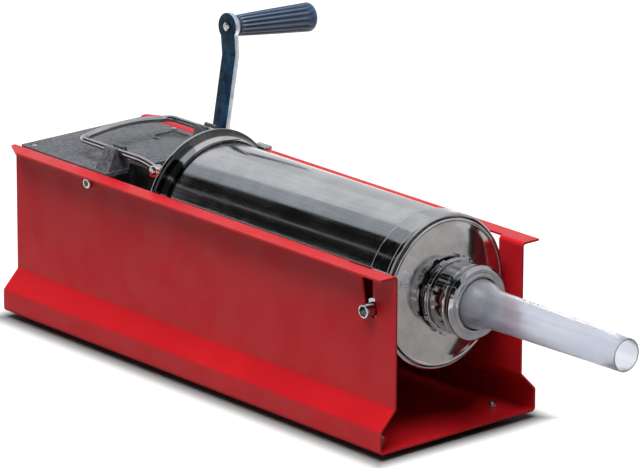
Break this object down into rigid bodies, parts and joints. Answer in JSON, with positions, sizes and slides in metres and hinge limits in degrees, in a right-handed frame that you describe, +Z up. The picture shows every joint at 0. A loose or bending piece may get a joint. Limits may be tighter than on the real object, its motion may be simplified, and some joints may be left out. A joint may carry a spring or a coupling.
{
  "type": "sausage stuffer",
  "caption": "Horizontal hand-cranked sausage stuffer: open sheet-metal trough, steel cylinder, rack-driven piston in a geared box, swing-over bail, long tapered nozzle under a ring nut.",
  "frame": {"origin": "centre of the footprint of the bounding box, on the surface the feet stand on", "axes": "+X along the cylinder toward the nozzle's tip, +Y toward the crank's side, +Z up"},
  "size_m": [0.7634, 0.3344, 0.2802],
  "materials": {
    "red_enamel": "glossy red enamel on folded sheet steel",
    "hammered_grey": "grey hammered paint on a casting",
    "stainless": "polished stainless steel",
    "chrome": "bright plated metal",
    "zinc_plate": "zinc-plated steel",
    "gear_steel": "machined steel, lightly oiled",
    "bronze": "sintered bronze",
    "black_rubber": "matt black rubber",
    "blued_steel": "dark blue-black coated steel",
    "slate_plastic": "slate-blue moulded plastic",
    "milky_plastic": "milky translucent plastic",
    "white_plastic": "white food-grade plastic",
    "silicone": "pale silicone rubber"
  },
  "bodies": {
    "frame": {"frame_trough": "red_enamel", "rubber_foot_front_right": "black_rubber", "rubber_foot_front_left": "black_rubber", "rubber_foot_rear_right": "black_rubber", "rubber_foot_rear_left": "black_rubber", "foot_screw_front_right": "zinc_plate", "foot_screw_front_left": "zinc_plate", "foot_screw_rear_right": "zinc_plate", "foot_screw_rear_left": "zinc_plate", "gearbox_housing": "hammered_grey", "gearbox_lid": "hammered_grey", "lid_screw_front_right": "zinc_plate", "lid_screw_front_left": "zinc_plate", "lid_screw_rear_right": "zinc_plate", "lid_screw_rear_left": "zinc_plate", "side_bolt_right": "zinc_plate", "side_bolt_left": "zinc_plate", "base_screw_front_right": "zinc_plate", "base_screw_front_left": "zinc_plate", "base_screw_rear_right": "zinc_plate", "base_screw_rear_left": "zinc_plate", "crank_bush_right": "bronze", "crank_bush_left": "bronze", "layshaft_bush_right": "bronze", "layshaft_bush_left": "bronze", "rack_guide_rear": "bronze", "rack_guide_front": "bronze", "cylinder_tube": "stainless", "rear_ring": "chrome", "front_band": "chrome", "trunnion_pin_right": "zinc_plate", "trunnion_pin_left": "zinc_plate", "end_cap": "stainless", "nozzle_gasket": "silicone", "bail_pin_right": "zinc_plate", "bail_pin_left": "zinc_plate"},
    "crank": {"crank_shaft": "gear_steel", "crank_pinion": "gear_steel", "crank_spacer_right": "gear_steel", "crank_spacer_left": "gear_steel", "crank_arm": "blued_steel", "crank_screw": "zinc_plate", "grip_bolt": "zinc_plate"},
    "grip": {"crank_grip": "slate_plastic"},
    "layshaft_train": {"layshaft": "gear_steel", "drive_gear": "gear_steel", "rack_pinion": "gear_steel", "layshaft_spacer_right": "gear_steel", "layshaft_spacer_middle": "gear_steel", "layshaft_spacer_left": "gear_steel"},
    "piston": {"piston_rack": "gear_steel", "piston_head": "white_plastic", "piston_seal": "silicone", "piston_nut": "gear_steel"},
    "bail": {"latch_bail": "stainless"},
    "nozzle_tube": {"nozzle": "milky_plastic"},
    "nut": {"ring_nut": "chrome"}
  },
  "joints": [
    {"name": "crank_turn", "type": "hinge", "parent": "frame", "child": "crank", "pos_m": [-0.29273, -0.07043, 0.1538], "axis": [0, 1, 0], "range_deg": [0, 4320]},
    {"name": "grip_spin", "type": "hinge", "parent": "crank", "child": "grip", "pos_m": [-0.3138, 0.06584, 0.26636], "axis": [0.0141, 0.9971, -0.0754], "continuous": true},
    {"name": "layshaft_turn", "type": "hinge", "parent": "frame", "child": "layshaft_train", "pos_m": [-0.3269, -0.07043, 0.1146], "axis": [0, 1, 0], "range_deg": [-1300, 0]},
    {"name": "piston_slide", "type": "slide", "parent": "frame", "child": "piston", "axis": [1, 0, 0], "range_m": [-0.34, 0]},
    {"name": "latch_swing", "type": "hinge", "parent": "frame", "child": "bail", "pos_m": [-0.1929, -0.07043, 0.18485], "axis": [0, 1, 0], "range_deg": [0, 90]},
    {"name": "nozzle_slide", "type": "slide", "parent": "frame", "child": "nozzle_tube", "axis": [1, 0, 0], "range_m": [0, 0.0201]},
    {"name": "nut_turn", "type": "hinge", "parent": "nozzle_tube", "child": "nut", "pos_m": [0.1844, -0.07043, 0.1361], "axis": [1, 0, 0], "range_deg": [0, 1800]}
  ],
  "couplings": [
    {"joint": "layshaft_turn", "follows": "crank_turn", "ratio": -0.3},
    {"joint": "piston_slide", "follows": "crank_turn", "m_per_rad": -0.0045},
    {"joint": "nozzle_slide", "follows": "nut_turn", "m_per_rad": 0.00063662}
  ]
}
